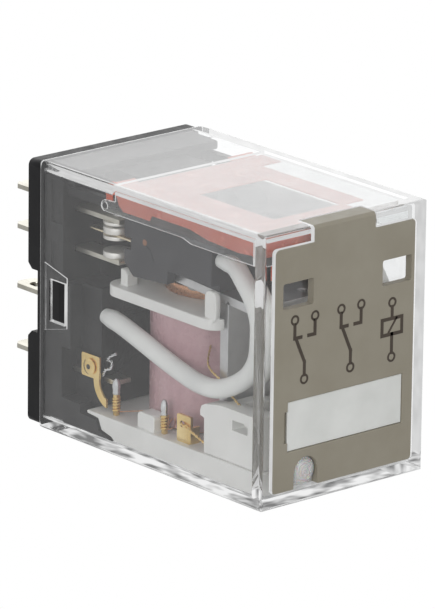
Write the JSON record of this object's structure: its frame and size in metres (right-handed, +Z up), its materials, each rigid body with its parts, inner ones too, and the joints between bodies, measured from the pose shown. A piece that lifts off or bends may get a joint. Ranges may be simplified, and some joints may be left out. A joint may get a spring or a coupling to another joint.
{
  "type": "plug-in relay",
  "caption": "Clear-cased plug-in changeover relay with flat blades, khaki nameplate with windows and write-on label, hinged armature, coil and operation indicator.",
  "frame": {"origin": "centre of the base face that seats on the socket, at the middle of the blade pattern's width and of the case's height", "axes": "+Y out of the blades into the socket, the label faces -Y, +Z up as the label reads, X across the two columns of blades"},
  "size_m": [0.0212, 0.0416, 0.028],
  "materials": {
    "clear_case": "polished clear polycarbonate",
    "khaki_plate": "fine matte moulding",
    "white_card": "smooth paper-like card",
    "clear_lens": "clear moulded lens",
    "dark_base": "satin thermoset moulding",
    "blade_plate": "silver plated, satin",
    "contact_alloy": "polished silver alloy",
    "spring_bronze": "bright rolled strip",
    "dark_carrier": "satin moulding",
    "plated_iron": "dull nickel plate",
    "copper": "bare copper",
    "white_moulding": "satin white moulding",
    "mauve_tape": "polyester tape over the winding",
    "gold_brass": "bright brass",
    "solder": "bright tin",
    "lamp_body": "tinted epoxy",
    "resistor_body": "tan lacquer",
    "sleeve": "soft white tube",
    "clear_lever": "clear moulding",
    "orange_card": "translucent orange film"
  },
  "bodies": {
    "root": {"cover": "clear_case", "nameplate": "khaki_plate", "write_on_label": "white_card", "led_lens": "clear_lens", "base": "dark_base", "nc_terminal_1": "blade_plate", "nc_terminal_2": "blade_plate", "no_terminal_1": "blade_plate", "no_terminal_2": "blade_plate", "com_terminal_1": "blade_plate", "com_terminal_2": "blade_plate", "coil_terminal_1": "blade_plate", "coil_terminal_2": "blade_plate", "nc_contacts": "contact_alloy", "no_contacts": "contact_alloy", "return_spring": "plated_iron", "yoke": "plated_iron", "core": "plated_iron", "shading_ring": "copper", "bobbin": "white_moulding", "coil_winding": "copper", "coil_tape": "mauve_tape", "coil_link_1": "gold_brass", "coil_link_2": "gold_brass", "link_rivets": "gold_brass", "wire_posts": "gold_brass", "solder_caps": "solder", "coil_wires": "copper", "led_holder": "white_moulding", "led": "lamp_body", "led_clip": "gold_brass", "led_wire": "gold_brass", "resistor": "resistor_body", "lead_sleeve_1": "sleeve", "lead_sleeve_2": "sleeve", "lead_braid_1": "copper", "lead_braid_2": "copper"},
    "armature": {"armature": "plated_iron", "contact_carrier": "dark_carrier", "carrier_rivets": "plated_iron", "moving_spring_1": "spring_bronze", "moving_spring_2": "spring_bronze", "moving_contacts": "contact_alloy"},
    "indicator": {"indicator_lever": "clear_lever", "indicator_card": "orange_card"}
  },
  "joints": [
    {"name": "armature_hinge", "type": "hinge", "parent": "root", "child": "armature", "pos_m": [0, -0.027, 0.00442], "axis": [-1, 0, 0], "range_deg": [0, 3.4], "stiffness_Nm_per_rad": 0.02, "springref_deg": -3.44, "deforming": ["return_spring", "lead_sleeve_1", "lead_sleeve_2", "lead_braid_1", "lead_braid_2"]},
    {"name": "indicator_drop", "type": "hinge", "parent": "root", "child": "indicator", "pos_m": [0, -0.01135, 0.0114], "axis": [1, 0, 0], "range_deg": [0, 3.94]}
  ],
  "couplings": [
    {"joint": "indicator_drop", "follows": "armature_hinge", "ratio": 1.1588}
  ]
}
